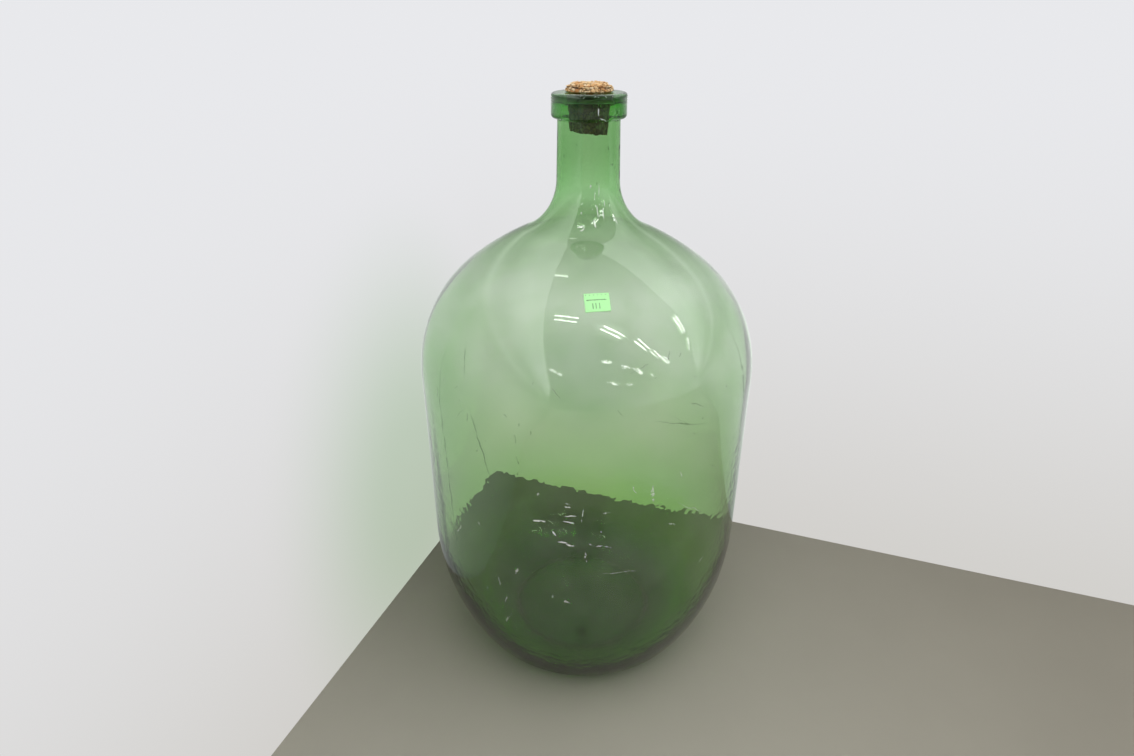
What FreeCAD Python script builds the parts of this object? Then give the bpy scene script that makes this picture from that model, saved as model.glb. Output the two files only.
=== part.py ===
"""A big blown-glass storage jar with a thick ring lip, the cork stopper in its mouth and the
small paper price label on its shoulder. Millimetres, +Z up, origin under the middle of the base.
The label side looks along -Y."""

import FreeCAD
import Part
import math
import os

# Outside of the jar
jar_height = 560.0
body_radius = 157.0
shoulder_radius = 124.0
shoulder_turn_deg = 53.0
crown_radius = 262.0
flare_radius = 48.5
neck_root_radius = 27.5
neck_taper_deg = 1.3
neck_length = 50.0

# Foot of the jar: the long flank curve, the tighter heel, the ring it rests on and the push-up
flank_radius = 240.0
heel_radius = 54.5
foot_radius = 78.0
foot_width = 6.0
pushup_height = 14.0
pushup_turn_radius = 6.0

# Ring lip
lip_radius = 31.5
lip_height = 20.0
lip_top_round = 3.0
lip_bottom_round = 3.0
lip_root_round = 1.2

# Thickness of the glass, thin over the shoulder and heavy in the floor and the neck
wall_glass = 2.2
shoulder_glass = 1.1
flank_glass = 3.0
heel_glass = 4.5
floor_glass = 6.5
neck_glass = 3.4
trough_radius = 22.0

# Mouth: a short tapered seat for the cork at the top, opening into the wider neck below it
mouth_radius = 18.3
mouth_taper_deg = 3.4
mouth_round = 2.0
seat_length = 3.8
seat_end_round = 1.4
throat_length = 4.0
throat_round = 5.0

# Cork stopper
cork_fit_gap = 0.3
cork_depth = 31.7
cork_stand = 7.8
cork_head_radius = 20.6
cork_head_lift = 0.35
cork_head_lean = 0.25
cork_head_round = 0.8
cork_root_round = 0.8
cork_crown_radius = 18.4
cork_crown_round = 1.2
cork_end_slope_deg = 6.6

# Price label
label_width = 20.0
label_height = 16.8
label_paper = 0.12
label_glue = 0.12
label_facing_deg = 53.2
label_azimuth_deg = 2.8
label_lean_deg = 2.7

FULL_TURN = 360.0
AXIS_FOOT = FreeCAD.Vector(0, 0, 0)
AXIS_UP = FreeCAD.Vector(0, 0, 1)


def point(radius, height):
    """A point of an outline, in the half plane of +X."""
    return FreeCAD.Vector(radius, 0, height)


def on_circle(middle, radius, angle):
    """The point of a circle at an angle, in radians above +X. A negative radius gives the point
    across the middle."""
    return middle + point(radius * math.cos(angle), radius * math.sin(angle))


def arc(middle, radius, start, end):
    """The edge of a circle from one angle to another, in radians."""
    half_way = (start + end) / 2
    ends = (on_circle(middle, radius, start), on_circle(middle, radius, end))
    return Part.Arc(ends[0], on_circle(middle, radius, half_way), ends[1]).toShape()


def line(start, end):
    return Part.LineSegment(start, end).toShape()


def foot_outline(wall_r, flank_r, heel_r, foot_r, floor_z):
    """Edges from the flat foot up to the straight wall: the heel, then the flank, all tangent.
    Also gives the height where the straight wall starts."""
    turn = math.acos((flank_r + foot_r - wall_r) / (flank_r - heel_r))
    heel_middle = point(foot_r, floor_z + heel_r)
    flank_middle = on_circle(heel_middle, heel_r - flank_r, -turn)
    edges = [
        arc(heel_middle, heel_r, -math.pi / 2, -turn),
        arc(flank_middle, flank_r, -turn, 0.0),
    ]
    return edges, flank_middle.z


def shoulder_outline(wall_r, shoulder_r, crown_r, flare_r, neck_r, start_z):
    """Edges from the straight wall over the shoulder to the neck, all tangent.
    Also gives the height where the neck starts."""
    turn = math.radians(shoulder_turn_deg)
    neck_lean = math.radians(neck_taper_deg)
    shoulder_middle = point(wall_r - shoulder_r, start_z)
    crown_middle = on_circle(shoulder_middle, shoulder_r - crown_r, turn)
    reach = neck_r + flare_r * math.cos(neck_lean) - crown_middle.x
    crown_end = math.acos(reach / (crown_r + flare_r))
    flare_middle = on_circle(crown_middle, crown_r + flare_r, crown_end)
    edges = [
        arc(shoulder_middle, shoulder_r, 0.0, turn),
        arc(crown_middle, crown_r, turn, crown_end),
        arc(flare_middle, flare_r, crown_end + math.pi, math.pi + neck_lean),
    ]
    return edges, flare_middle.z - flare_r * math.sin(neck_lean)


def pushup_outline(foot_r, floor_z, turn_r, apex_z):
    """Edges from the middle of a domed floor down to its lowest ring, both tangent."""
    rise = apex_z - floor_z
    dome_r = (foot_r**2 + (turn_r - rise) ** 2 - turn_r**2) / (2 * rise)
    turn_middle = point(foot_r, floor_z + turn_r)
    dome_middle = point(0, apex_z - dome_r)
    lean = math.atan2(turn_middle.z - dome_middle.z, turn_middle.x)
    return [
        arc(dome_middle, dome_r, math.pi / 2, lean),
        arc(turn_middle, turn_r, lean - math.pi, -math.pi / 2),
    ]


def rounded_outline(start, corners, end):
    """Straight edges through corners, each with its own round. A corner is a point and a radius."""
    edges = []
    here = start
    for number, (corner, radius) in enumerate(corners):
        after = corners[number + 1][0] if number + 1 < len(corners) else end
        back = (here - corner).normalize()
        ahead = (after - corner).normalize()
        half_angle = back.getAngle(ahead) / 2
        trim = radius / math.tan(half_angle)
        middle = corner + (back + ahead).normalize() * (radius / math.sin(half_angle))
        inner = middle + (corner - middle).normalize() * radius
        edges.append(line(here, corner + back * trim))
        edges.append(Part.Arc(corner + back * trim, inner, corner + ahead * trim).toShape())
        here = corner + ahead * trim
    edges.append(line(here, end))
    return edges


def turned(edges):
    """The solid that a closed outline makes when it turns about the jar's axis."""
    face = Part.Face(Part.Wire(Part.sortEdges(edges)[0]))
    solid = face.revolve(AXIS_FOOT, AXIS_UP, FULL_TURN)
    if solid.Volume < 0:
        solid.reverse()
    return solid


def first_point(edge):
    return edge.valueAt(edge.FirstParameter)


def last_point(edge):
    return edge.valueAt(edge.LastParameter)


# Heights that more than one piece uses
lip_foot = jar_height - lip_height
neck_foot = lip_foot - neck_length
seat_foot = jar_height - seat_length
throat_foot = seat_foot - throat_length
mouth_slope = math.tan(math.radians(mouth_taper_deg))
neck_slope = math.tan(math.radians(neck_taper_deg))
seat_foot_radius = mouth_radius - seat_length * mouth_slope


def shoulder_start(wall_r, shoulder_r, crown_r, flare_r, neck_r):
    """The height where the straight wall ends, so that the flare ends at the foot of the neck."""
    rise = shoulder_outline(wall_r, shoulder_r, crown_r, flare_r, neck_r, 0.0)[1]
    return neck_foot - rise


wall_top = shoulder_start(
    body_radius, shoulder_radius, crown_radius, flare_radius, neck_root_radius
)


def outside_edges():
    """The jar's outer outline, from the middle of the push-up to the foot of the ring lip."""
    foot_inner = foot_radius - foot_width
    edges = pushup_outline(foot_inner, 0.0, pushup_turn_radius, pushup_height)
    edges.append(line(point(foot_inner, 0), point(foot_radius, 0)))
    foot, wall_foot = foot_outline(body_radius, flank_radius, heel_radius, foot_radius, 0.0)
    edges += foot
    edges.append(line(point(body_radius, wall_foot), point(body_radius, wall_top)))
    edges += shoulder_outline(
        body_radius, shoulder_radius, crown_radius, flare_radius, neck_root_radius, wall_top
    )[0]
    return edges


def inside_edges():
    """The jar's inner outline, from the middle of the floor to the foot of the neck."""
    apex = pushup_height + floor_glass
    edges = pushup_outline(foot_radius, floor_glass, trough_radius, apex)
    inner_wall = body_radius - wall_glass
    foot, wall_foot = foot_outline(
        inner_wall, flank_radius - flank_glass, heel_radius - heel_glass, foot_radius, floor_glass
    )
    edges += foot
    edges.append(line(point(inner_wall, wall_foot), point(inner_wall, wall_top)))
    edges += shoulder_outline(
        inner_wall,
        shoulder_radius - shoulder_glass,
        crown_radius - shoulder_glass,
        flare_radius + neck_glass,
        neck_root_radius - neck_glass,
        wall_top,
    )[0]
    return edges


def make_glass_jar():
    """One blown piece: foot, body, shoulder, neck and ring lip."""
    outside = outside_edges()
    inside = inside_edges()
    neck_inner = last_point(inside[-1])
    neck_top_radius = neck_root_radius - neck_length * neck_slope
    throat_radius = neck_inner.x - (throat_foot - neck_inner.z) * neck_slope
    neck_and_lip = rounded_outline(
        last_point(outside[-1]),
        [
            (point(neck_top_radius, lip_foot), lip_root_round),
            (point(lip_radius, lip_foot), lip_bottom_round),
            (point(lip_radius, jar_height), lip_top_round),
            (point(mouth_radius, jar_height), mouth_round),
            (point(seat_foot_radius, seat_foot), seat_end_round),
            (point(throat_radius, throat_foot), throat_round),
        ],
        neck_inner,
    )
    middle = line(first_point(inside[0]), first_point(outside[0]))
    return turned(outside + neck_and_lip + inside + [middle])


def make_cork_stopper():
    """A tapered cork. The shank is squeezed in the mouth, the head above it has swelled out,
    and the lower end is cut off at a slant."""
    shank_gauge = mouth_radius - cork_fit_gap
    end_drop = cork_head_radius * math.tan(math.radians(cork_end_slope_deg))
    end_height = jar_height - cork_depth - end_drop
    end_radius = shank_gauge - (jar_height - end_height) * mouth_slope
    head_foot = jar_height + cork_head_lift
    top = jar_height + cork_stand
    outline = [line(point(0, end_height), point(end_radius, end_height))]
    outline += rounded_outline(
        point(end_radius, end_height),
        [
            (point(shank_gauge + cork_head_lift * mouth_slope, head_foot), cork_root_round),
            (point(cork_head_radius, head_foot + cork_head_lean), cork_head_round),
            (point(cork_crown_radius, top), cork_crown_round),
        ],
        point(0, top),
    )
    cork = turned(outline + [line(point(0, top), point(0, end_height))])
    knife_side = 4 * cork_head_radius
    knife = Part.makeBox(knife_side, knife_side, knife_side)
    knife.translate(FreeCAD.Vector(-knife_side / 2, -knife_side / 2, -knife_side))
    knife.rotate(AXIS_FOOT, FreeCAD.Vector(0, 1, 0), cork_end_slope_deg)
    knife.translate(FreeCAD.Vector(0, 0, jar_height - cork_depth))
    return cork.cut(knife)


def shoulder_body(outset):
    """A plain solid over the jar's shoulder, its skin outset from the glass."""
    wall_r = body_radius + outset
    edges, top = shoulder_outline(
        wall_r,
        shoulder_radius + outset,
        crown_radius + outset,
        flare_radius - outset,
        neck_root_radius + outset,
        wall_top,
    )
    edges.append(line(point(neck_root_radius + outset, top), point(0, top)))
    edges.append(line(point(0, top), point(0, wall_top)))
    edges.append(line(point(0, wall_top), point(wall_r, wall_top)))
    return turned(edges)


def shoulder_point(facing):
    """The point of the outer shoulder that faces an angle, in radians above +X."""
    turn = math.radians(shoulder_turn_deg)
    shoulder_middle = point(body_radius - shoulder_radius, wall_top)
    if facing <= turn:
        return on_circle(shoulder_middle, shoulder_radius, facing)
    crown_middle = on_circle(shoulder_middle, shoulder_radius - crown_radius, turn)
    return on_circle(crown_middle, crown_radius, facing)


def make_price_label():
    """A paper rectangle that follows the shoulder's curve."""
    block_depth = label_width
    block = Part.makeBox(block_depth, label_width, label_height)
    block.translate(FreeCAD.Vector(-block_depth / 2, -label_width / 2, -label_height / 2))
    block.rotate(AXIS_FOOT, FreeCAD.Vector(1, 0, 0), label_lean_deg)
    block.rotate(AXIS_FOOT, FreeCAD.Vector(0, 1, 0), -label_facing_deg)
    block.translate(shoulder_point(math.radians(label_facing_deg)))
    block.rotate(AXIS_FOOT, AXIS_UP, label_azimuth_deg - 90.0)
    skin = block.common(shoulder_body(label_glue + label_paper))
    return skin.cut(shoulder_body(label_glue))


pieces = {
    "glass_jar": make_glass_jar,
    "cork_stopper": make_cork_stopper,
    "price_label": make_price_label,
}

os.makedirs("parts", exist_ok=True)
for name, make in pieces.items():
    shape = make()
    shape.exportStep(f"parts/{name}.step")
    print(name, len(shape.Solids), "solid", round(shape.Volume / 1000, 2), "cm3", shape.isValid())
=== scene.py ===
"""The looks of a big green blown-glass jar with a cork stopper and a small paper label.
Outlines are in millimetres, as (distance from the axis, height), and meshes are in metres.
Azimuths are seen from above: 0 is the label side, -Y, and +90 is +X."""

import math
import random

import bpy
import numpy as np
from mathutils import Matrix, Vector, kdtree, noise


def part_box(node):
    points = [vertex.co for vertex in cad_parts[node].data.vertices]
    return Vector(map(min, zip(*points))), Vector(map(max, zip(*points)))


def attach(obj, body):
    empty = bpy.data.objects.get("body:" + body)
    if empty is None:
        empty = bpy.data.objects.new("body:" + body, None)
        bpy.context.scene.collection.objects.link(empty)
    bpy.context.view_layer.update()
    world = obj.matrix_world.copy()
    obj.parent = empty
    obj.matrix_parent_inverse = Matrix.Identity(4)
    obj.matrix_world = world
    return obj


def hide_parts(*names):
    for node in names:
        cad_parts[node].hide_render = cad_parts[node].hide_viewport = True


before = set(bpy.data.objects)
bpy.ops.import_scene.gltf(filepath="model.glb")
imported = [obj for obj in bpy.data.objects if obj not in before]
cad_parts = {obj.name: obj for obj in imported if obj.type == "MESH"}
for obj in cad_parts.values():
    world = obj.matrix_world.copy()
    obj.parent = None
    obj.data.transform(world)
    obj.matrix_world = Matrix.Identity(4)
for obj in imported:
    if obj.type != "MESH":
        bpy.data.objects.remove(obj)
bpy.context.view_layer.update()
MM = 0.001

# Outside of the jar
jar_height = 560.0
body_radius = 157.0
shoulder_radius = 124.0
shoulder_turn = math.radians(53.0)
crown_radius = 262.0
flare_radius = 48.5
neck_root_radius = 27.5
neck_taper = math.radians(1.3)
neck_foot = 490.0
flank_radius = 240.0
heel_radius = 54.5
foot_radius = 78.0
foot_width = 6.0
pushup_height = 14.0
pushup_turn_radius = 6.0
lip_radius = 31.5
lip_foot = 540.0
lip_root_round = 1.2
lip_bottom_round = 3.0
lip_top_round = 3.0

# Thickness of the glass
wall_glass = 2.2
shoulder_glass = 1.1
flank_glass = 3.0
heel_glass = 4.5
floor_glass = 6.5
neck_glass = 3.4
trough_radius = 22.0

# Mouth
mouth_radius = 18.3
mouth_taper = math.radians(3.4)
mouth_round = 2.0
seat_foot = 556.2
seat_end_round = 1.4
throat_foot = 552.2
throat_round = 5.0

# Price label
label_width = 20.0
label_height = 16.8
label_paper = 0.12
label_glue = 0.12
label_facing = math.radians(53.2)
label_azimuth = math.radians(2.8)
label_lean = math.radians(2.7)

# Camera, at the photograph's place
camera_place = (-0.0182, -0.6208, 0.6119)
camera_pitch = math.radians(63.13)
camera_lens = 22.4


def on_circle(middle, radius, angle):
    return (middle[0] + radius * math.cos(angle), middle[1] + radius * math.sin(angle))


def arc(middle, radius, start, end, step):
    """Points along an arc of an outline, about a step apart."""
    count = max(2, round(abs(radius * (end - start)) / step))
    return [on_circle(middle, radius, start + (end - start) * k / count) for k in range(count + 1)]


def line(start, end, step):
    count = max(1, round(math.dist(start, end) / step))
    shares = [k / count for k in range(count + 1)]
    return [(start[0] + (end[0] - start[0]) * s, start[1] + (end[1] - start[1]) * s) for s in shares]


def foot_outline(wall_r, flank_r, heel_r, foot_r, floor_z, step):
    """From the flat foot up to the straight wall. Also gives the height where the wall starts."""
    turn = math.acos((flank_r + foot_r - wall_r) / (flank_r - heel_r))
    heel_middle = (foot_r, floor_z + heel_r)
    flank_middle = on_circle(heel_middle, heel_r - flank_r, -turn)
    points = arc(heel_middle, heel_r, -math.pi / 2, -turn, step)
    points += arc(flank_middle, flank_r, -turn, 0.0, step * 1.4)
    return points, flank_middle[1]


def shoulder_circles(wall_r, shoulder_r, crown_r, flare_r, neck_r, start_z):
    """The middles of the shoulder, the crown and the flare, and the angle where the crown ends."""
    shoulder_middle = (wall_r - shoulder_r, start_z)
    crown_middle = on_circle(shoulder_middle, shoulder_r - crown_r, shoulder_turn)
    reach = neck_r + flare_r * math.cos(neck_taper) - crown_middle[0]
    crown_end = math.acos(reach / (crown_r + flare_r))
    flare_middle = on_circle(crown_middle, crown_r + flare_r, crown_end)
    return shoulder_middle, crown_middle, flare_middle, crown_end


def shoulder_outline(wall_r, shoulder_r, crown_r, flare_r, neck_r, start_z, step):
    """From the straight wall over the shoulder to the neck."""
    middles = shoulder_circles(wall_r, shoulder_r, crown_r, flare_r, neck_r, start_z)
    points = arc(middles[0], shoulder_r, 0.0, shoulder_turn, step)
    points += arc(middles[1], crown_r, shoulder_turn, middles[3], step)
    points += arc(middles[2], flare_r, middles[3] + math.pi, math.pi + neck_taper, step * 0.6)
    return points


def pushup_outline(foot_r, floor_z, turn_r, apex_z, step):
    """From the middle of a domed floor down to its lowest ring."""
    rise = apex_z - floor_z
    dome_r = (foot_r**2 + (turn_r - rise) ** 2 - turn_r**2) / (2 * rise)
    turn_middle = (foot_r, floor_z + turn_r)
    dome_middle = (0.0, apex_z - dome_r)
    lean = math.atan2(turn_middle[1] - dome_middle[1], turn_middle[0])
    points = arc(dome_middle, dome_r, math.pi / 2, lean, step)
    return points + arc(turn_middle, turn_r, lean - math.pi, -math.pi / 2, step * 0.4)


def rounded_outline(start, corners, end):
    """Straight runs through corners. A corner is a point, its round and the step of its points."""
    points = []
    here = Vector(start)
    for number, (corner, radius, step) in enumerate(corners):
        corner = Vector(corner)
        after = Vector(corners[number + 1][0] if number + 1 < len(corners) else end)
        back = (here - corner).normalized()
        ahead = (after - corner).normalized()
        half_angle = back.angle(ahead) / 2
        trim = radius / math.tan(half_angle)
        middle = corner + (back + ahead).normalized() * (radius / math.sin(half_angle))
        first, last = corner + back * trim, corner + ahead * trim
        from_middle = [math.atan2(p.y - middle.y, p.x - middle.x) for p in (first, last)]
        turn = (from_middle[1] - from_middle[0] + math.pi) % (2 * math.pi) - math.pi
        points += line(tuple(here), tuple(first), step * 2.2)
        points += arc(tuple(middle), radius, from_middle[0], from_middle[0] + turn, step)
        here = last
    return points + line(tuple(here), end, 3.0)


flare_rise = shoulder_circles(
    body_radius, shoulder_radius, crown_radius, flare_radius, neck_root_radius, 0.0
)[2][1] - flare_radius * math.sin(neck_taper)
wall_top = neck_foot - flare_rise
outer_shoulder = shoulder_circles(
    body_radius, shoulder_radius, crown_radius, flare_radius, neck_root_radius, wall_top
)


def jar_outline():
    """The whole section, from under the push-up, up the outside, over the lip and down inside to
    the middle of the floor. Also gives how many points are outside, and where the inside starts."""
    foot_inner = foot_radius - foot_width
    outside = pushup_outline(foot_inner, 0.0, pushup_turn_radius, pushup_height, 7.0)
    outside += line((foot_inner, 0.0), (foot_radius, 0.0), 3.0)
    foot, wall_foot = foot_outline(body_radius, flank_radius, heel_radius, foot_radius, 0.0, 4.0)
    outside += foot
    outside += line((body_radius, wall_foot), (body_radius, wall_top), 8.0)
    outside += shoulder_outline(
        body_radius, shoulder_radius, crown_radius, flare_radius, neck_root_radius, wall_top, 3.6
    )
    inner_wall = body_radius - wall_glass
    inside = pushup_outline(
        foot_radius, floor_glass, trough_radius, pushup_height + floor_glass, 7.0
    )
    foot, wall_foot = foot_outline(
        inner_wall,
        flank_radius - flank_glass,
        heel_radius - heel_glass,
        foot_radius,
        floor_glass,
        5.0,
    )
    inside += foot
    inside += line((inner_wall, wall_foot), (inner_wall, wall_top), 9.0)
    inside += shoulder_outline(
        inner_wall,
        shoulder_radius - shoulder_glass,
        crown_radius - shoulder_glass,
        flare_radius + neck_glass,
        neck_root_radius - neck_glass,
        wall_top,
        4.4,
    )
    neck_slope, mouth_slope = math.tan(neck_taper), math.tan(mouth_taper)
    neck_top_radius = neck_root_radius - (lip_foot - neck_foot) * neck_slope
    throat_radius = inside[-1][0] - (throat_foot - inside[-1][1]) * neck_slope
    seat_foot_radius = mouth_radius - (jar_height - seat_foot) * mouth_slope
    lip = rounded_outline(
        outside[-1],
        [
            ((neck_top_radius, lip_foot), lip_root_round, 0.5),
            ((lip_radius, lip_foot), lip_bottom_round, 0.42),
            ((lip_radius, jar_height), lip_top_round, 0.42),
            ((mouth_radius, jar_height), mouth_round, 0.42),
            ((seat_foot_radius, seat_foot), seat_end_round, 0.5),
            ((throat_radius, throat_foot), throat_round, 0.8),
        ],
        inside[-1],
    )
    section = outside + lip + inside[::-1]
    kept = [section[0]]
    sides = [1.0]
    for number, place in enumerate(section[1:], 1):
        if math.dist(place, kept[-1]) > 1e-4:
            kept.append(place)
            sides.append(1.0 if number < len(outside) + len(lip) // 2 else -1.0)
    return np.array(kept), np.array(sides)


def smooth_step(value, low, high):
    share = np.clip((np.asarray(value, float) - low) / (high - low), 0.0, 1.0)
    return share * share * (3 - 2 * share)


def rolling(places, across, along, shift):
    """Smooth noise from -1 to 1 at places in millimetres, with its own length in plan and height."""
    scaled = np.asarray(places) / np.array([across, across, along]) + shift
    return np.array([noise.noise(Vector(p)) for p in scaled])


# Waves of the blown glass
outer_wave = 0.16
outer_ripple = 0.05
inner_wave = 0.40
ripple_depth = 0.00018


def outer_dip(places):
    """How far the outside lies inside its true outline, in millimetres."""
    height = places[:, 2]
    free = smooth_step(height, 6.0, 60.0) * (1 - smooth_step(height, 532.0, 540.0))
    waves = 0.5 + 0.5 * rolling(places, 62.0, 105.0, 3.7)
    ripple = 0.5 + 0.5 * rolling(places, 13.0, 30.0, 9.1)
    neck = smooth_step(height, 430.0, 470.0)
    return free * (outer_wave * waves + outer_ripple * ripple * neck)


def inner_shift(places):
    """How far the inside is raised off its true outline into the glass, in millimetres."""
    height = places[:, 2]
    free = smooth_step(height, 22.0, 70.0) * (1 - smooth_step(height, 528.0, 540.0))
    thin = 1 - 0.7 * smooth_step(height, 400.0, 470.0)
    return free * thin * inner_wave * rolling(places, 55.0, 120.0, 21.3)


# Flaws of the ring lip: a dimple with a folded edge, and a fine seam
dimple_azimuth = math.radians(44.0)
dimple_height = 544.0
dimple_depth = 0.9
seam_azimuth = math.radians(11.0)
seam_width = 0.45
seam_rise = 0.16


def lip_flaw(azimuth, height):
    """How far the ring lip's outside is raised, in millimetres."""
    along = (azimuth - dimple_azimuth) * lip_radius
    up = height - dimple_height
    fold = up - 1.6 * np.sin(along * 0.9) - 1.2
    dimple = -dimple_depth * np.exp(-(along / 4.2) ** 2 - (up / 2.1) ** 2)
    ridge = 0.55 * np.exp(-(fold / 0.8) ** 2 - (along / 4.6) ** 2)
    off_seam = np.abs(azimuth - seam_azimuth) * lip_radius
    seam = seam_rise * np.exp(-(off_seam / seam_width) ** 2)
    seam *= smooth_step(height, 541.0, 543.0) * (1 - smooth_step(height, 555.0, 558.5))
    return dimple + ridge + seam


def new_object(name, mesh, material):
    obj = bpy.data.objects.new(name, mesh)
    bpy.context.scene.collection.objects.link(obj)
    if material:
        mesh.materials.append(material)
    return obj


def make_mesh(name, places, faces, smooth=True):
    mesh = bpy.data.meshes.new(name)
    mesh.from_pydata([tuple(p) for p in places], [], faces)
    mesh.validate()
    mesh.update()
    mesh.polygons.foreach_set("use_smooth", [smooth] * len(mesh.polygons))
    return mesh


def turned_faces(rings, columns, last):
    """Quads of a turned skin whose first and last points lie on the axis."""
    faces = []
    for column in range(columns):
        after = (column + 1) % columns
        faces.append((0, 1 + after, 1 + column))
        for ring in range(rings - 1):
            low, high = 1 + ring * columns, 1 + (ring + 1) * columns
            faces.append((low + column, low + after, high + after, high + column))
        top = 1 + (rings - 1) * columns
        faces.append((top + column, top + after, last))
    return faces


# Seeds, the small bubbles in the neck: azimuth in degrees, height, radius, drawn out length
seeds = [(38.0, 518.0, 0.55, 1.5), (48.0, 505.0, 0.5, 1.9), (36.0, 474.0, 0.6, 1.3),
         (-52.0, 512.0, 0.35, 1.6), (-20.0, 497.0, 0.3, 1.4), (120.0, 500.0, 0.5, 1.8),
         (205.0, 515.0, 0.4, 1.5), (160.0, 482.0, 0.45, 1.7)]
jar_columns = 232


def make_jar(material):
    """The blown glass: one closed skin with its waves, and the skins of its seeds."""
    outline, sides = jar_outline()
    tangent = np.gradient(outline, axis=0)
    normal = np.stack([tangent[:, 1], -tangent[:, 0]], axis=1)
    normal /= np.linalg.norm(normal, axis=1)[:, None]
    step = 2 * math.pi / jar_columns
    seam_columns = [seam_azimuth + k * seam_width / lip_radius for k in (-1.2, 0.0, 1.2)]
    columns = np.array(sorted([k * step for k in range(jar_columns)] + seam_columns))
    ring_r, ring_z, side = outline[1:-1, 0], outline[1:-1, 1], sides[1:-1]
    azimuth, radius = np.meshgrid(columns, ring_r)
    height = np.repeat(ring_z[:, None], len(columns), axis=1)
    places = np.stack(
        [radius * np.sin(azimuth), -radius * np.cos(azimuth), height], axis=2
    ).reshape(-1, 3)
    outward = np.stack(
        [
            normal[1:-1, 0, None] * np.sin(azimuth),
            -normal[1:-1, 0, None] * np.cos(azimuth),
            np.repeat(normal[1:-1, 1, None], len(columns), axis=1),
        ],
        axis=2,
    ).reshape(-1, 3)
    outer = np.repeat(side > 0, len(columns))
    shift = np.zeros(len(places))
    shift[outer] = -outer_dip(places[outer])
    shift[~outer] = inner_shift(places[~outer])
    on_lip = outer & (places[:, 2] > lip_foot) & (np.hypot(places[:, 0], places[:, 1]) > 27.5)
    shift[on_lip] += lip_flaw(azimuth.reshape(-1)[on_lip], places[on_lip, 2])
    places = places + outward * shift[:, None]
    ends = [(0.0, 0.0, outline[0, 1]), (0.0, 0.0, outline[-1, 1])]
    skin = np.concatenate([[ends[0]], places, [ends[1]]])
    faces = turned_faces(len(ring_r), len(columns), len(skin) - 1)
    skins, all_faces = [skin], faces
    start = len(skin)
    for azimuth_deg, level, size, drawn in seeds:
        points, bubble = seed_skin(math.radians(azimuth_deg), level, size, drawn)
        skins.append(points)
        all_faces += [tuple(start + k for k in face) for face in bubble]
        start += len(points)
    mesh = make_mesh("glass_jar_skin", np.concatenate(skins) * MM, all_faces)
    layer = mesh.attributes.new("outside", "FLOAT", "POINT")
    marks = np.zeros(start, np.float32)
    marks[1:1 + len(outer)] = outer
    layer.data.foreach_set("value", marks)
    return new_object("glass_jar_blown", mesh, material)


def seed_skin(azimuth, level, size, drawn):
    """The skin of a bubble inside the neck's wall, facing into the bubble."""
    rings, around = 8, 12
    wall_middle = neck_root_radius - (level - neck_foot) * math.tan(neck_taper) - neck_glass / 2
    if level < neck_foot:
        wall_middle += flare_radius - math.sqrt(flare_radius**2 - (neck_foot - level) ** 2)
    middle = np.array([wall_middle * math.sin(azimuth), -wall_middle * math.cos(azimuth), level])
    points = [middle + (0, 0, -size * drawn)]
    for ring in range(1, rings):
        tilt = math.pi * ring / rings
        for k in range(around):
            turn = 2 * math.pi * k / around
            points.append(middle + np.array([
                size * math.sin(tilt) * math.cos(turn),
                size * math.sin(tilt) * math.sin(turn),
                -size * drawn * math.cos(tilt),
            ]))
    points.append(middle + (0, 0, size * drawn))
    faces = turned_faces(rings - 1, around, len(points) - 1)
    return np.array(points), [face[::-1] for face in faces]


# Cork granules
granule_pitch = 3.3
cork_voxel = 0.42
crevice_depth = 0.75
crevice_width = 0.42
hollow_depth = 1.5
pit_depth = 1.5
crack_height = 564.2
crack_depth = 1.3
rim_drop = 2.3
rim_pull = 0.14


def granule_tree(rng):
    """Jittered places for the granules, in millimetres, and a random tone for each."""
    low, high = [np.array(corner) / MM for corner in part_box("cork_stopper")]
    counts = np.ceil((high - low) / granule_pitch).astype(int) + 2
    places = []
    for index in np.ndindex(*counts):
        offset = np.array([0.5 * (index[2] % 2), 0.5 * (index[2] % 2), 0.0])
        jitter = np.array([rng.uniform(-0.42, 0.42) for _ in range(3)])
        places.append(low + (np.array(index) - 0.5 + offset + jitter) * granule_pitch)
    tree = kdtree.KDTree(len(places))
    for number, place in enumerate(places):
        tree.insert(place, number)
    tree.balance()
    return tree, [[rng.random() for _ in range(3)] for _ in places]


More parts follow.
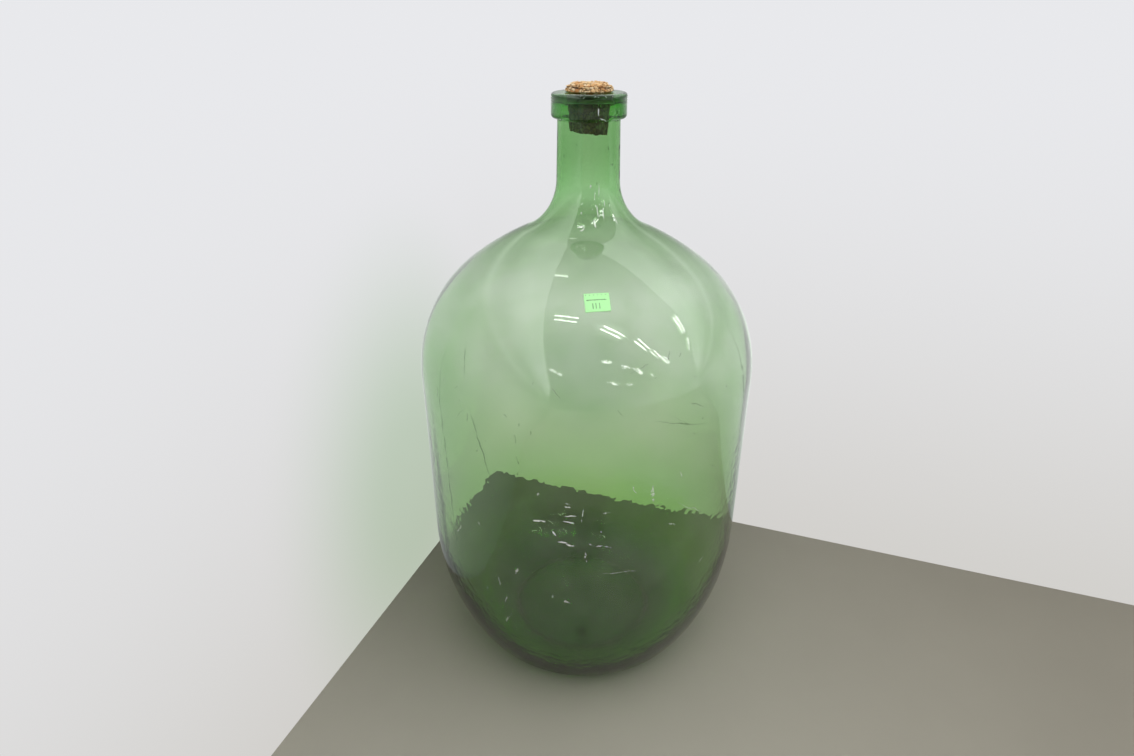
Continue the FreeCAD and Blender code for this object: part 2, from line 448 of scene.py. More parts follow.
def make_cork(material):
    """The pressed cork: granules that stand out by their own amounts, with crevices between."""
    rng = random.Random(11)
    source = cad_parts["cork_stopper"]
    obj = new_object("cork_stopper_granular", source.data.copy(), None)
    obj.data.materials.clear()
    obj.data.materials.append(material)
    remesh = obj.modifiers.new("even_grid", "REMESH")
    remesh.mode = "VOXEL"
    remesh.voxel_size = cork_voxel * MM
    depsgraph = bpy.context.evaluated_depsgraph_get()
    mesh = bpy.data.meshes.new_from_object(obj.evaluated_get(depsgraph))
    obj.modifiers.clear()
    obj.data = mesh
    count = len(mesh.vertices)
    flat = np.zeros(count * 3)
    mesh.vertices.foreach_get("co", flat)
    places = flat.reshape(-1, 3) / MM
    mesh.vertex_normals.foreach_get("vector", flat)
    normals = flat.reshape(-1, 3).copy()
    tree, tones = granule_tree(rng)
    warped = places.copy()
    for axis in range(3):
        warped[:, axis] += 0.7 * rolling(places, 2.3, 2.3, 5.0 + 7 * axis)
    marks = np.zeros((count, 4), np.float32)
    gaps = np.zeros(count)
    offsets = np.zeros(count)
    for number, place in enumerate(warped):
        (_, nearest, near), (_, _, far) = tree.find_n(place, 2)
        gaps[number] = far - near
        tone = tones[nearest]
        offsets[number] = tone[0]
        marks[number] = (tone[1], 0.0, tone[2], 1.0)
    radius = np.hypot(places[:, 0], places[:, 1])
    azimuth = np.arctan2(places[:, 0], -places[:, 1])
    height = places[:, 2]
    head = smooth_step(height, 560.1, 561.2)
    end = 1 - smooth_step(height, 529.0, 534.0)
    loose = np.maximum(head, end)
    squeezed = 1 - loose
    crevice = np.exp(-(gaps / crevice_width) ** 2)
    dip = crevice * crevice_depth * (0.3 + 0.7 * loose)
    dip += loose * (hollow_depth * offsets**2 + pit_depth * (offsets > 0.93))
    dip += squeezed * 0.12 * offsets
    dip += 0.12 * (0.5 + 0.5 * rolling(places, 0.9, 0.9, 71.0))
    crack = np.exp(-((height - crack_height - 0.5 * np.sin(5 * azimuth)) / 0.55) ** 2)
    sides = smooth_step(np.cos(azimuth + math.radians(68)), 0.5, 0.95)
    sides = sides + 0.8 * smooth_step(np.cos(azimuth - math.radians(48)), 0.8, 0.97)
    crack *= (0.25 + sides) * smooth_step(radius, 14.0, 17.0)
    dip += crack_depth * crack
    # The granule colour's green is painted shade for the crevices and the crack; red and blue are the
    # granules' own tones
    marks[:, 1] = np.clip(crevice + crack, 0, 1)
    places = places - normals * dip[:, None]
    rim = smooth_step(places[:, 2], 564.5, 567.0) * np.clip((radius - 11.0) / 8.0, 0, 1) ** 2
    places[:, 2] -= rim_drop * rim
    places[:, :2] *= 1 - rim_pull * rim[:, None]
    mesh.vertices.foreach_set("co", (places * MM).reshape(-1))
    mesh.update()
    layer = mesh.color_attributes.new("granule", "FLOAT_COLOR", "POINT")
    layer.data.foreach_set("color", marks.reshape(-1))
    mesh.polygons.foreach_set("use_smooth", [True] * len(mesh.polygons))
    return obj


def shoulder_distance(place):
    """How far a place in millimetres lies outside the shoulder's true outline."""
    flat = (math.hypot(place[0], place[1]), place[2])
    shoulder_middle, crown_middle = outer_shoulder[0], outer_shoulder[1]
    angle = math.atan2(flat[1] - shoulder_middle[1], flat[0] - shoulder_middle[0])
    if angle <= shoulder_turn:
        return math.dist(flat, shoulder_middle) - shoulder_radius
    return math.dist(flat, crown_middle) - crown_radius


def make_label(material):
    """The paper label: a thin sheet that follows the glass, with two corners lifted a little."""
    across, up = 40, 34
    turn = Matrix.Rotation(label_azimuth, 3, "Z")
    facing = turn @ Vector((0, -math.cos(label_facing), math.sin(label_facing)))
    right = turn @ Vector((1, 0, 0))
    upright = facing.cross(right)
    lean = Matrix.Rotation(label_lean, 3, facing)
    right, upright = lean @ right, lean @ upright
    start = on_circle(outer_shoulder[1], crown_radius, label_facing)
    middle = turn @ Vector((0, -start[0], start[1]))
    places, lifted = [], []
    for row in range(up + 1):
        for column in range(across + 1):
            u, v = column / across, row / up
            place = middle + right * (u - 0.5) * label_width + upright * (v - 0.5) * label_height
            for _ in range(8):
                place = place - facing * shoulder_distance(place)
            dip = outer_dip(np.array([place]))[0]
            lift = 0.55 * math.exp(-((1 - u) ** 2 + v**2) / 0.03)
            lift += 0.35 * math.exp(-(u**2 + (1 - v) ** 2) / 0.02)
            wrinkle = 0.05 * noise.noise(Vector((u * 7, v * 3, 2.0)))
            place = place + facing * (label_glue - dip + lift + max(0.0, wrinkle))
            places.append(place)
            lifted.append(place + facing * label_paper)
    skin = places + lifted
    count = len(places)
    faces = []

    def at(column, row):
        return row * (across + 1) + column

    for row in range(up):
        for column in range(across):
            quad = (at(column, row), at(column + 1, row), at(column + 1, row + 1), at(column, row + 1))
            faces.append(quad[::-1])
            faces.append(tuple(count + k for k in quad))
    edge = [at(k, 0) for k in range(across)] + [at(across, k) for k in range(up)]
    edge += [at(k, up) for k in range(across, 0, -1)] + [at(0, k) for k in range(up, 0, -1)]
    for here, after in zip(edge, edge[1:] + edge[:1]):
        faces.append((here, after, count + after, count + here))
    mesh = make_mesh("label_sheet", np.array(skin) * MM, faces)
    wrap = mesh.uv_layers.new(name="sheet")
    shares = [(k % (across + 1) / across, k % count // (across + 1) / up) for k in range(2 * count)]
    corners = [shares[loop.vertex_index] for loop in mesh.loops]
    wrap.data.foreach_set("uv", np.array(corners, np.float32).reshape(-1))
    return new_object("price_label_paper", mesh, material)


def node(tree, kind, inputs=None, **settings):
    """A new shader node. An input is a value or another node's output."""
    made = tree.nodes.new("ShaderNode" + kind)
    for name, value in settings.items():
        setattr(made, name, value)
    for name, value in (inputs or {}).items():
        if isinstance(value, bpy.types.NodeSocket):
            tree.links.new(value, made.inputs[name])
        else:
            made.inputs[name].default_value = value
    return made


def maths(tree, operation, first, second=0.0, clamp=False):
    made = node(tree, "Math", {0: first, 1: second}, operation=operation, use_clamp=clamp)
    return made.outputs[0]


def smooth_share(tree, value, low, high, start=0.0, end=1.0):
    """From start to end, smoothly, as value goes from low to high."""
    share = node(tree, "MapRange", {"Value": value, "From Min": low, "From Max": high,
                                    "To Min": start, "To Max": end},
                 interpolation_type="SMOOTHSTEP")
    return share.outputs["Result"]


def ramp(tree, share, stops):
    """A colour ramp. A stop is a position and a colour."""
    made = node(tree, "ValToRGB", {"Fac": share})
    elements = made.color_ramp.elements
    while len(elements) < len(stops):
        elements.new(0.5)
    for element, (position, colour) in zip(elements, stops):
        element.position = position
        element.color = (*colour, 1.0)
    return made.outputs["Color"]


def mixed(tree, share, first, second, blend="MIX"):
    made = node(tree, "Mix", {0: share, 6: first, 7: second}, data_type="RGBA", blend_type=blend)
    return made.outputs[2]


def new_material(name):
    material = bpy.data.materials.new(name)
    material.use_nodes = True
    return material, material.node_tree, material.node_tree.nodes["Principled BSDF"]


# What a metre of the glass takes away from red, green and blue
glass_absorption = (140.0, 57.0, 170.0)
# The glass's own tint at heights in metres: deepest in the base, none over the thin shoulder
glass_tint = [
    (0.0, (0.42, 0.84, 0.10)), (0.016, (0.42, 0.84, 0.10)), (0.045, (0.80, 0.94, 0.46)),
    (0.10, (0.97, 0.98, 0.87)), (0.17, (0.98, 0.97, 0.90)), (0.25, (0.85, 0.88, 0.82)),
    (0.36, (1.0, 1.0, 1.0)), (0.415, (1.0, 1.0, 1.0)), (0.45, (0.66, 0.74, 0.61)),
    (0.48, (0.91, 0.98, 0.91)), (0.51, (0.75, 0.83, 0.73)), (0.538, (0.75, 0.83, 0.73)),
    (0.544, (1.0, 1.0, 1.0)),
]

# How much of the light the film on the outside scatters: on the wall, the shoulder and the lip
wall_film = 0.04
shoulder_film = 0.15
lip_film = 0.022
# The frosted seat inside the mouth: its film, its colour at the front, a painted dark shade, and its
# frosted colour at the sides
seat_film = 0.85
seat_front_painted_shade = (0.05, 0.045, 0.015)
seat_side = (0.9, 0.9, 0.9)
# Colour and strength of the dark lines painted into the glass as shade and dark refraction
painted_dark_line_colour = (0.05, 0.09, 0.06)
painted_dark_line_strength = 0.85
# How far the strokes waver, in millimetres
stroke_shake = 6.0

# Scratches and scuffs on the lower half, which come back every third of a turn: azimuth in degrees,
# height, half length and half width in millimetres, and the turn of the stroke in degrees
scratches = [
    (-35.9, 145.6, 4.5, 0.55, -78), (-23.1, 180.9, 5.6, 0.8, 62), (-27.9, 143.8, 7.4, 0.4, -99),
    (-30.1, 160.7, 4.7, 0.45, -80), (-27.7, 117.3, 9.0, 0.6, -111), (3.2, 218.8, 11.3, 0.6, -13),
    (-0.8, 206.1, 5.5, 0.8, -80), (3.5, 180.0, 1.8, 0.7, -30), (-11.8, 159.9, 2.0, 0.9, -72),
    (-6.7, 155.1, 3.6, 0.9, -17), (19.5, 265.2, 8.0, 1.5, -81), (26.8, 228.6, 7.0, 0.5, -27),
    (5.3, 252.5, 3.4, 0.6, -10), (3.6, 234.1, 1.2, 0.9, -34), (34.0, 238.0, 17.0, 0.35, -35),
    (-15.5, 267.7, 1.7, 1.3, -51), (41.8, 169.9, 6.3, 0.4, 45), (10.2, 187.6, 15.0, 0.3, 178),
    (-47.8, 197.4, 11.0, 0.5, 52), (-37.6, 216.2, 2.0, 0.9, -57), (29.1, 278.0, 4.0, 0.35, -67),
    (13.7, 273.0, 4.0, 0.5, -71),
]
# Painted highlights: glint strokes drawn as white film at the front of the flare, the neck's foot, the
# lip and the lower half
painted_glints = [
    (-11, 469, 3.5, 1.3, 0), (2.6, 488.5, 3.0, 1.0, 10), (10, 482, 3.2, 1.0, 70),
    (17.5, 486, 5.0, 1.1, 80), (13, 469, 4.5, 2.2, 100), (21, 467.5, 4.0, 2.0, 75),
    (7.3, 460, 2.2, 4.0, 60), (38, 463, 3.5, 1.4, 120), (35, 473, 2.0, 0.9, 60),
    (-9, 458.5, 9.0, 0.5, 3), (-8, 456.5, 8.0, 0.4, 3), (26, 475, 3.0, 1.0, 100),
    (12.3, 549.5, 7.0, 1.8, 90), (21, 541.6, 24.0, 0.5, -5), (6, 556.7, 8.0, 1.1, 6),
    (14, 555.6, 2.4, 1.8, 80), (19, 556.8, 7.0, 1.1, -8), (30, 556.6, 9.0, 0.6, 8),
    (-6.4, 259, 5.0, 0.6, 0), (-6.2, 262, 4.0, 0.5, 0),
    (-5.8, 249, 5.0, 0.6, 3), (-5.8, 243, 5.5, 0.7, -3), (-16.3, 240, 5.0, 0.8, 12),
    (-13.7, 241, 3.5, 0.6, -8), (-10.7, 231, 5.0, 0.7, -50), (-8.3, 221, 4.5, 0.8, 5),
    (-5.5, 219, 4.0, 0.9, -12), (-2.1, 250, 7.0, 0.45, 88),
]
# Dark lines painted at the front, as shade and dark refraction along cord lines and the limbs, under the
# ring lip and in its dimple, and at seeds: the same five numbers
painted_dark_line_strokes = [
    (-52.8, 262.0, 92.0, 0.8, -87), (-43.6, 367.9, 12.0, 0.4, -66), (-34.7, 300.6, 27.0, 0.8, -73),
    (-60.5, 205.0, 88.0, 6.0, -87.5), (61.0, 300.0, 60.0, 2.6, -84), (27.5, 327.1, 20.0, 0.4, -17),
    (44.0, 547.0, 13.0, 1.2, -9), (52.0, 548.5, 6.0, 1.1, 40), (35.0, 519.0, 3.2, 0.6, 0),
    (53.0, 503.0, 3.2, 0.5, 0), (-56.0, 541.9, 70.0, 0.9, 0), (60.0, 541.9, 62.0, 0.9, 0),
]


def stroke_mask(tree, flat, strokes, soft):
    """1 on a row of strokes drawn on the unrolled skin, fading out over their soft edges."""
    nearest = 9.0
    for azimuth_deg, level, half_length, half_width, turn_deg in strokes:
        across = math.radians(azimuth_deg) * body_radius
        stroke = node(tree, "Mapping", {
            "Vector": flat,
            "Location": (across, level, 0),
            "Rotation": (0, 0, math.radians(turn_deg)),
            "Scale": (half_length, half_width, 1),
        }, vector_type="TEXTURE")
        reach = node(tree, "VectorMath", {0: stroke.outputs[0]}, operation="LENGTH")
        nearest = maths(tree, "MINIMUM", reach.outputs["Value"], nearest)
    return smooth_share(tree, nearest, 1 - soft, 1 + soft, 1.0, 0.0)


def shaken(tree, flat, place):
    """A place on the unrolled skin, shaken so that the strokes on it waver."""
    shake = node(tree, "TexNoise", {"Vector": place, "Scale": 120.0, "Detail": 2.0}).outputs["Color"]
    shake = node(tree, "VectorMath", {0: shake, 1: (0.5, 0.5, 0.5)}, operation="SUBTRACT").outputs[0]
    shake = node(tree, "VectorMath", {0: shake, "Scale": stroke_shake}, operation="SCALE").outputs[0]
    return node(tree, "VectorMath", {0: flat, 1: shake}, operation="ADD").outputs[0]


def glass_film_and_painted_glints(tree, place, height, flat, front):
    """How dull the outside is: a thin film over the shoulder and the lip, scuffs, and painted highlights
    drawn as white film.
    """
    film = smooth_share(tree, height, 0.29, 0.40, wall_film, shoulder_film)
    film = maths(tree, "MULTIPLY", film, smooth_share(tree, height, 0.42, 0.455, 1.0, 0.0))
    film = maths(tree, "MULTIPLY", film, smooth_share(tree, height, 0.05, 0.20, 0.2, 1.0))
    film = maths(tree, "ADD", film, smooth_share(tree, height, 0.539, 0.543, 0.0, lip_film))
    dust = node(tree, "TexNoise", {"Vector": place, "Scale": 30.0, "Detail": 5.0})
    film = maths(tree, "MULTIPLY", film, smooth_share(tree, dust.outputs["Fac"], 0.2, 0.8, 0.5, 1.5))
    grain = node(tree, "TexNoise", {"Vector": place, "Scale": 900.0, "Detail": 3.0}).outputs["Fac"]
    scuffs = maths(tree, "MULTIPLY", stroke_mask(tree, flat, scratches, 0.35),
                   smooth_share(tree, grain, 0.35, 0.6, 0.1, 0.75))
    film = maths(tree, "MAXIMUM", film, scuffs)
    # Painted highlights: the glint strokes are drawn as white film
    return maths(tree, "MAXIMUM", film, stroke_mask(tree, front, painted_glints, 0.3))


def seat_mask(tree, place, height):
    """1 on the frosted seat inside the mouth, where the cork presses."""
    radius = node(tree, "VectorMath", {0: place, 1: (1, 1, 0)}, operation="MULTIPLY").outputs[0]
    radius = node(tree, "VectorMath", {0: radius}, operation="LENGTH").outputs["Value"]
    seat = maths(tree, "MULTIPLY", smooth_share(tree, height, 0.551, 0.5525),
                 smooth_share(tree, radius, 0.0212, 0.0222, 1.0, 0.0))
    return maths(tree, "MULTIPLY", seat, smooth_share(tree, height, 0.5582, 0.5594, 1.0, 0.0))


def glass_colour(tree, height, turn, painted_dark_line_mask, seat):
    """The glass's tint by height, with the painted dark lines and the seat, whose front is painted dark
    shade.
    """
    top = glass_tint[-1][0]
    tint = ramp(tree, maths(tree, "DIVIDE", height, top), [(z / top, tone) for z, tone in glass_tint])
    tint = mixed(tree, painted_dark_line_mask, tint, (*painted_dark_line_colour, 1))
    aside = smooth_share(tree, maths(tree, "ABSOLUTE", turn), 0.85, 1.0)
    # Painted shade: the seat is dark at the front and frosted white at the sides
    pressed = mixed(tree, aside, (*seat_front_painted_shade, 1), (*seat_side, 1))
    return mixed(tree, seat, tint, pressed)


def glass_ripple(tree, place, height, outside):
    """The normal of a fine ripple: inside the lower half, and from the neck's foot up."""
    ripple = node(tree, "TexNoise", {"Vector": place, "Scale": 140.0, "Detail": 1.0}).outputs["Fac"]
    low = smooth_share(tree, height, 0.25, 0.31, 1.0, 0.02)
    inside = maths(tree, "SUBTRACT", 1.0, maths(tree, "MULTIPLY", outside, 0.93))
    low = maths(tree, "MULTIPLY", low, inside)
    high = smooth_share(tree, height, 0.45, 0.47)
    waves = maths(tree, "MULTIPLY", ripple, maths(tree, "ADD", low, high))
    bump = node(tree, "Bump", {"Strength": 1.0, "Distance": ripple_depth, "Height": waves})
    return bump.outputs["Normal"]


def glass_material():
    material, tree, surface = new_material("green_glass_blown")
    surface.inputs["IOR"].default_value = 1.5
    surface.inputs["Roughness"].default_value = 0.0
    density = max(glass_absorption)
    absorb = node(tree, "VolumeAbsorption", {
        "Color": (*[1 - a / density for a in glass_absorption], 1.0),
        "Density": density,
    })
    tree.links.new(absorb.outputs[0], tree.nodes["Material Output"].inputs["Volume"])

    place = node(tree, "TexCoord").outputs["Object"]
    axes = node(tree, "SeparateXYZ", {"Vector": place})
    height = axes.outputs["Z"]
    outside = node(tree, "Attribute", attribute_name="outside").outputs["Fac"]
    turn = maths(tree, "ARCTAN2", axes.outputs["X"], maths(tree, "MULTIPLY", axes.outputs["Y"], -1.0))
    third = node(tree, "Math", {0: turn, 1: math.pi / 3, 2: -math.pi / 3}, operation="WRAP")
    level = maths(tree, "MULTIPLY", height, 1 / MM)
    flat, front = [
        shaken(tree, node(tree, "CombineXYZ", {"X": across, "Y": level}).outputs[0], place)
        for across in [maths(tree, "MULTIPLY", angle, body_radius) for angle in (third.outputs[0], turn)]
    ]

    seat = seat_mask(tree, place, height)
    # The film carries the painted highlights of the glint strokes too
    film = maths(tree, "MULTIPLY", glass_film_and_painted_glints(tree, place, height, flat, front), outside)
    film = maths(tree, "MAXIMUM", film, maths(tree, "MULTIPLY", seat, seat_film))
    tree.links.new(maths(tree, "SUBTRACT", 1.0, film), surface.inputs["Transmission Weight"])
    # Painted shade: dark lines drawn into the base colour where shade and dark refraction fall
    painted_dark_line_mask = maths(tree, "MULTIPLY", stroke_mask(tree, front, painted_dark_line_strokes, 0.6), painted_dark_line_strength)
    painted_dark_line_mask = maths(tree, "MULTIPLY", painted_dark_line_mask, outside)
    tree.links.new(glass_colour(tree, height, turn, painted_dark_line_mask, seat), surface.inputs["Base Color"])
    tree.links.new(glass_ripple(tree, place, height, outside), surface.inputs["Normal"])
    return material


def cork_material():
    material, tree, surface = new_material("cork_pressed")
    marks = node(tree, "Attribute", attribute_name="granule")
    parts = node(tree, "SeparateColor", {"Color": marks.outputs["Color"]})
    place = node(tree, "TexCoord").outputs["Object"]
    grain = node(tree, "TexNoise", {"Vector": place, "Scale": 1300.0, "Detail": 4.0})
    blotch = node(tree, "TexNoise", {"Vector": place, "Scale": 420.0, "Detail": 2.0})
    tone = maths(tree, "ADD", maths(tree, "MULTIPLY", parts.outputs["Red"], 0.75),
                 maths(tree, "MULTIPLY", blotch.outputs["Fac"], 0.35))
    body = ramp(tree, tone, [
        (0.0, (0.38, 0.14, 0.04)), (0.2, (0.62, 0.30, 0.11)), (0.42, (0.82, 0.53, 0.25)),
        (0.7, (0.93, 0.70, 0.40)), (1.0, (1.0, 0.86, 0.60)),
    ])
    speck = smooth_share(tree, grain.outputs["Fac"], 0.52, 0.68, 0.0, 0.6)
    body = mixed(tree, speck, body, (0.56, 0.29, 0.11, 1))
    # Painted shade darkens the crevices and the crack
    painted_crevice_shade = maths(tree, "POWER", parts.outputs["Green"], 1.6)
    body = mixed(tree, maths(tree, "MULTIPLY", painted_crevice_shade, 0.85), body, (0.15, 0.06, 0.02, 1))
    # Painted shade: the cork is darkened below the lip's top, as the shade inside the neck
    level = node(tree, "SeparateXYZ", {"Vector": place}).outputs["Z"]
    painted_neck_shade = mixed(tree, 1.0, body, (0.32, 0.34, 0.18, 1), "MULTIPLY")
    body = mixed(tree, smooth_share(tree, level, 0.5558, 0.5592), painted_neck_shade, body)
    tree.links.new(body, surface.inputs["Base Color"])
    surface.inputs["Roughness"].default_value = 0.85
    surface.inputs["Specular IOR Level"].default_value = 0.25
    bump = node(tree, "Bump", {"Strength": 0.5, "Distance": 0.0002, "Height": grain.outputs["Fac"]})
    tree.links.new(bump.outputs["Normal"], surface.inputs["Normal"])
    return material


def bar_mask(tree, along, up, left, right, low, high):
    """1 inside a rectangle of the label, else 0."""
    mask = maths(tree, "GREATER_THAN", along, left)
    mask = maths(tree, "MULTIPLY", mask, maths(tree, "LESS_THAN", along, right))
    mask = maths(tree, "MULTIPLY", mask, maths(tree, "GREATER_THAN", up, low))
    return maths(tree, "MULTIPLY", mask, maths(tree, "LESS_THAN", up, high))


def label_material():
    material, tree, surface = new_material("label_green_paper")
    sheet = node(tree, "SeparateXYZ", {"Vector": node(tree, "UVMap", uv_map="sheet").outputs["UV"]})
    along, up = sheet.outputs["X"], sheet.outputs["Y"]
    place = node(tree, "TexCoord").outputs["Object"]
    fibre = node(tree, "TexNoise", {"Vector": place, "Scale": 900.0, "Detail": 4.0})
    ticks = [(0.06 + 0.157 * k, 0.09 + 0.157 * k, 0.89, 0.945) for k in range(6)]
    row = [(0.11 + 0.093 * k, 0.17 + 0.093 * k, 0.60 + 0.008 * (k % 3), 0.67) for k in range(8)]
    digits = [(0.30, 0.335, 0.16, 0.46), (0.42, 0.455, 0.16, 0.46), (0.56, 0.595, 0.16, 0.46)]
    ink = bar_mask(tree, along, up, 0.08, 0.88, 0.615, 0.65)
    for bar in ticks + row + digits:
        ink = maths(tree, "MAXIMUM", ink, bar_mask(tree, along, up, *bar))
    ink = maths(tree, "MULTIPLY", ink, smooth_share(tree, fibre.outputs["Fac"], 0.3, 0.6, 0.4, 0.75))
    paper = mixed(tree, fibre.outputs["Fac"], (0.44, 0.95, 0.38, 1), (0.51, 0.99, 0.45, 1))
    paper = mixed(tree, ink, paper, (0.04, 0.18, 0.05, 1))
    tree.links.new(paper, surface.inputs["Base Color"])
    surface.inputs["Roughness"].default_value = 0.6
    bump = node(tree, "Bump", {"Strength": 0.25, "Distance": 0.0001, "Height": fibre.outputs["Fac"]})
    tree.links.new(bump.outputs["Normal"], surface.inputs["Normal"])
    return material


# Stage: a pale floor and two white boards that meet in a corner behind the jar
board_distance = 0.213
board_turn = math.radians(-19.5)
board_height = 1.05
board_length = 3.0
floor_size = 14.0
# Board brightness at the floor and at the top: darker low down, as painted shade towards the corner
board_glow_low = (0.63, 0.615, 0.585)
board_glow_high = (0.81, 0.815, 0.84)
# The green shade beside the jar and behind it: colour, half size, and the place from the board's foot
jar_shade = (0.72, 0.85, 0.70)
jar_shade_size = (0.21, 0.21, 0.30)
jar_shade_place = Vector((0, 0, 0.12))
back_shade = (0.76, 0.86, 0.78)
back_shade_size = (0.11, 0.11, 0.10)
back_shade_place = Vector((-0.075, 0.02, 0.175))
# How bright the boards are in mirror images, by height
board_mirror = [
    (0.0, 0.32), (0.05, 0.42), (0.16, 0.75), (0.28, 0.90), (0.40, 0.85), (0.46, 0.35), (0.505, 0.40),
    (0.535, 1.1), (0.555, 0.65), (0.60, 0.70), (0.66, 1.5), (0.76, 2.4), (1.0, 2.6),
]


def stage_material(name, colour, mottle):
    material, tree, surface = new_material(name)
    place = node(tree, "TexCoord").outputs["Object"]
    spots = node(tree, "TexNoise", {"Vector": place, "Scale": 7.0, "Detail": 8.0})
    shade = mixed(tree, spots.outputs["Fac"], (*[c * (1 - mottle) for c in colour], 1),
                  (*[c * (1 + mottle) for c in colour], 1))
    tree.links.new(shade, surface.inputs["Base Color"])
    surface.inputs["Roughness"].default_value = 0.9
    surface.inputs["Specular IOR Level"].default_value = 0.1
    return material


def floor_material():
    """Pale grey, darker towards the right as painted shade."""
    material = stage_material("floor_grey", (0.37, 0.352, 0.295), 0.06)
    tree = material.node_tree
    surface = tree.nodes["Principled BSDF"]
    side = node(tree, "SeparateXYZ", {"Vector": node(tree, "TexCoord").outputs["Object"]}).outputs["X"]
    shade = mixed(tree, smooth_share(tree, side, 0.0, 0.6), (1, 1, 1, 1), (0.74, 0.73, 0.71, 1))
    grey = mixed(tree, 1.0, surface.inputs["Base Color"].links[0].from_socket, shade, "MULTIPLY")
    tree.links.new(grey, surface.inputs["Base Color"])
    return material


def board_white(tree, place, height, shades):
    """What the camera and the glass see of a board: white, darker towards the floor as painted shade,
    with the jar's green shades on it.
    """
    white = mixed(tree, smooth_share(tree, height, -0.15, 0.62), (*board_glow_low, 1),
                  (*board_glow_high, 1))
    for middle, size, shade in shades:
        near = node(tree, "Mapping", {"Vector": place, "Location": middle, "Scale": size},
                    vector_type="TEXTURE")
        near = node(tree, "VectorMath", {0: near.outputs[0]}, operation="LENGTH").outputs["Value"]
        shaded = mixed(tree, 1.0, white, (*shade, 1), "MULTIPLY")
        white = mixed(tree, smooth_share(tree, near, 0.2, 1.2, 1.0, 0.0), white, shaded)
    return white


def board_reflection(tree, place, height):
    """How a board looks in mirror images: by height, fading far away, brighter low at the right."""
    mirror = ramp(tree, height, [(z, (glow * 0.93, glow, glow * 0.94)) for z, glow in board_mirror])
    reach = node(tree, "VectorMath", {0: place, 1: (1, 1, 0)}, operation="MULTIPLY").outputs[0]
    reach = node(tree, "VectorMath", {0: reach}, operation="LENGTH").outputs["Value"]
    low = smooth_share(tree, height, 0.15, 0.55, 1.0, 0.0)
    far = maths(tree, "MULTIPLY", low, smooth_share(tree, reach, 0.35, 1.8, 0.0, 0.85))
    mirror = mixed(tree, far, mirror, (0, 0, 0, 1))
    side = node(tree, "SeparateXYZ", {"Vector": place}).outputs["X"]
    side = maths(tree, "MULTIPLY", smooth_share(tree, side, 0.0, 0.2), low)
    return mixed(tree, side, mirror, mixed(tree, 1.0, mirror, (1.35, 1.35, 1.35, 1), "MULTIPLY"))


def board_material(shades):
    """White board, seen from its front only, with one brightness seen straight and one mirrored."""
    material = stage_material("board_white", (0.86, 0.86, 0.87), 0.004)
    tree = material.node_tree
    surface = tree.nodes["Principled BSDF"].outputs[0]
    path = node(tree, "LightPath")
    place = node(tree, "TexCoord").outputs["Object"]
    height = node(tree, "SeparateXYZ", {"Vector": place}).outputs["Z"]
    seen = maths(tree, "MAXIMUM", path.outputs["Is Camera Ray"], path.outputs["Is Transmission Ray"])
    lit = mixed(tree, seen, board_reflection(tree, place, height),
                board_white(tree, place, height, shades))
    seen = maths(tree, "MAXIMUM", seen, path.outputs["Is Glossy Ray"])
    glow = node(tree, "Emission", {"Color": lit, "Strength": 1.0})
    surface = node(tree, "MixShader", {0: seen, 1: surface, 2: glow.outputs[0]}).outputs[0]
    behind = node(tree, "NewGeometry").outputs["Backfacing"]
    clear = node(tree, "BsdfTransparent").outputs[0]
    surface = node(tree, "MixShader", {0: behind, 1: surface, 2: clear}).outputs[0]
    tree.links.new(surface, tree.nodes["Material Output"].inputs["Surface"])
    return material


def make_stage():
    half = floor_size / 2
    corners = [(-half, -half, 0), (half, -half, 0), (half, half, 0), (-half, half, 0)]
    floor = new_object("floor", make_mesh("floor_plane", corners, [(0, 1, 2, 3)], False),
                       floor_material())
    along = Vector((math.cos(board_turn), math.sin(board_turn), 0))
    away = Vector((-along.y, along.x, 0))
    corner = away * board_distance - along * board_distance
    ends = [corner + along * board_length, corner - away * board_length]
    white = board_material([
        (along * -board_distance + jar_shade_place, jar_shade_size, jar_shade),
        (away * board_distance + back_shade_place, back_shade_size, back_shade),
    ])
    for name, end, order in (("right", ends[0], (0, 1, 2, 3)), ("left", ends[1], (0, 3, 2, 1))):
        top = Vector((0, 0, board_height))
        board = new_object("board_" + name, make_mesh(
            "board_plane_" + name, [corner, end, end + top, corner + top], [order], False), white)


# Strip lamps overhead, seen only as reflections: the middle of each and its half length, in metres,
# how many tubes it has and their radiance
lamp_height = 2.8
tube_width = 0.045
tube_gap = 0.17
strip_lamps = [
    ((-0.54, -0.88), (0.30, -0.10), 2, 16), ((0.73, -1.46), (0.33, -0.19), 2, 34),
    ((2.02, -1.97), (0.41, -0.25), 2, 24), ((3.17, -2.50), (0.48, -0.26), 2, 24),
    ((4.50, -2.95), (0.60, -0.30), 2, 24), ((-0.55, 0.40), (0.15, -0.07), 1, 7),
    ((3.25, -0.30), (0.60, -0.24), 2, 26), ((5.40, -1.10), (0.80, -0.40), 1, 24),
    ((-1.90, -4.65), (0.20, -0.45), 2, 30), ((0.88, -3.40), (0.22, -0.12), 2, 24),
    ((1.96, -3.95), (0.30, -0.11), 2, 26), ((3.20, -4.52), (0.55, -0.45), 2, 26),
    ((2.20, -7.20), (0.60, -0.55), 2, 30), ((3.90, -7.60), (0.50, -0.40), 2, 26),
    ((5.20, -5.40), (0.50, -0.40), 1, 24),
]
# The glare round the brightest lamp: half length, half width and radiance of each layer
glare = [(0.62, 0.34, 0.5), (0.50, 0.24, 0.6), (0.42, 0.16, 0.8)]


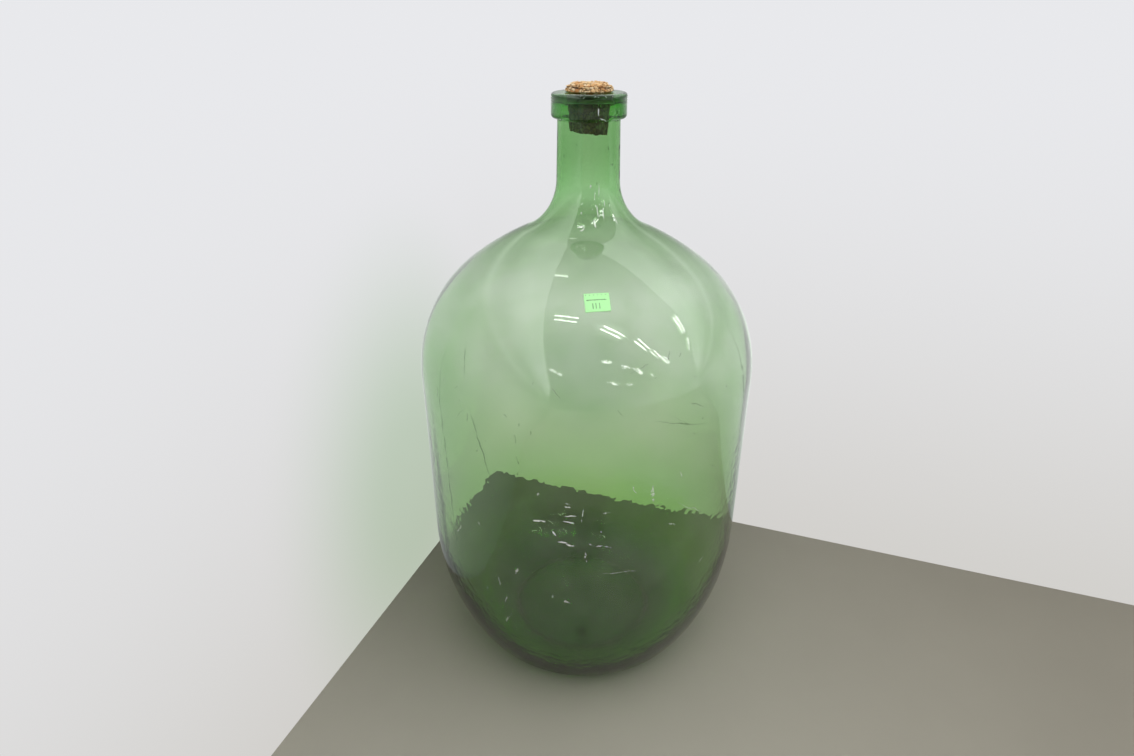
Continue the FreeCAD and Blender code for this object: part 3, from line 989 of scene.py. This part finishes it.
def make_lamp(name, shape, place, turn, size, radiance):
    data = bpy.data.lights.new(name, "AREA")
    data.shape = shape
    data.size, data.size_y = size
    area = size[0] * size[1] * (math.pi / 4 if shape == "ELLIPSE" else 1.0)
    data.energy = radiance * math.pi * area
    lamp = bpy.data.objects.new(name, data)
    lamp.location = place
    lamp.rotation_euler = (0, 0, turn)
    lamp.visible_camera = False
    lamp.visible_diffuse = False
    bpy.context.scene.collection.objects.link(lamp)


def make_lamps():
    for number, ((x, y), (reach_x, reach_y), tubes, radiance) in enumerate(strip_lamps):
        size = (2 * math.hypot(reach_x, reach_y), tube_width)
        turn = math.atan2(reach_y, reach_x)
        for side in ((-0.5, 0.5) if tubes == 2 else (0.0,)):
            offset = side * tube_gap
            place = (x - math.sin(turn) * offset, y + math.cos(turn) * offset, lamp_height)
            make_lamp(f"tube_{number}", "RECTANGLE", place, turn, size, radiance)
    (x, y), (reach_x, reach_y) = strip_lamps[1][:2]
    for number, (half_length, half_width, radiance) in enumerate(glare):
        place = (x, y, lamp_height + 0.02 * (number + 1))
        turn = math.atan2(reach_y, reach_x)
        make_lamp(f"glare_{number}", "ELLIPSE", place, turn, (2 * half_length, 2 * half_width), radiance)


def make_world():
    """Soft light all round, dimmer from the side where the camera stands."""
    world = bpy.data.worlds.new("soft_room")
    bpy.context.scene.world = world
    world.use_nodes = True
    tree = world.node_tree
    tree.nodes.clear()
    way = node(tree, "TexCoord").outputs["Generated"]
    up = node(tree, "SeparateXYZ", {"Vector": way}).outputs["Z"]
    overhead = smooth_share(tree, up, 0.35, 0.95)
    behind = node(tree, "VectorMath", {0: way, 1: (0.0, -1.0, 0.0)}, operation="DOT_PRODUCT")
    behind = smooth_share(tree, behind.outputs["Value"], 0.1, 0.9)
    level = mixed(tree, behind, (0.75, 0.75, 0.76, 1), (0.35, 0.35, 0.36, 1))
    level = mixed(tree, overhead, level, (2.1, 2.1, 2.13, 1))
    path = node(tree, "LightPath")
    front = node(tree, "VectorMath", {0: way, 1: (0.0, -0.87, 0.5)}, operation="DOT_PRODUCT")
    front = smooth_share(tree, front.outputs["Value"], 0.55, 0.93)
    mirror = mixed(tree, front, (0.9, 0.9, 0.92, 1), (0.10, 0.10, 0.10, 1))
    level = mixed(tree, path.outputs["Is Glossy Ray"], level, mirror)
    level = mixed(tree, path.outputs["Is Camera Ray"], level, (0.82, 0.82, 0.83, 1))
    background = node(tree, "Background", {"Color": level})
    output = node(tree, "OutputWorld")
    tree.links.new(background.outputs[0], output.inputs["Surface"])


def make_camera():
    data = bpy.data.cameras.new("camera")
    data.lens = camera_lens
    data.sensor_width = 36.0
    camera = bpy.data.objects.new("camera", data)
    camera.location = camera_place
    camera.rotation_euler = (camera_pitch, 0, 0)
    bpy.context.scene.collection.objects.link(camera)
    bpy.context.scene.camera = camera


make_camera()
make_stage()
make_lamps()
make_world()
bpy.context.scene.view_settings.view_transform = "Standard"
bpy.context.scene.cycles.max_bounces = 24
bpy.context.scene.cycles.transmission_bounces = 24

jar = make_jar(glass_material())
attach(jar, "jar")
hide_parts("glass_jar")
cork = make_cork(cork_material())
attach(cork, "stopper")
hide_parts("cork_stopper")
label = make_label(label_material())
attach(label, "jar")
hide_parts("price_label")

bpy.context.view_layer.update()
for piece in (jar, cork, label):
    print(piece.name, "triangles", sum(len(p.vertices) - 2 for p in piece.data.polygons))
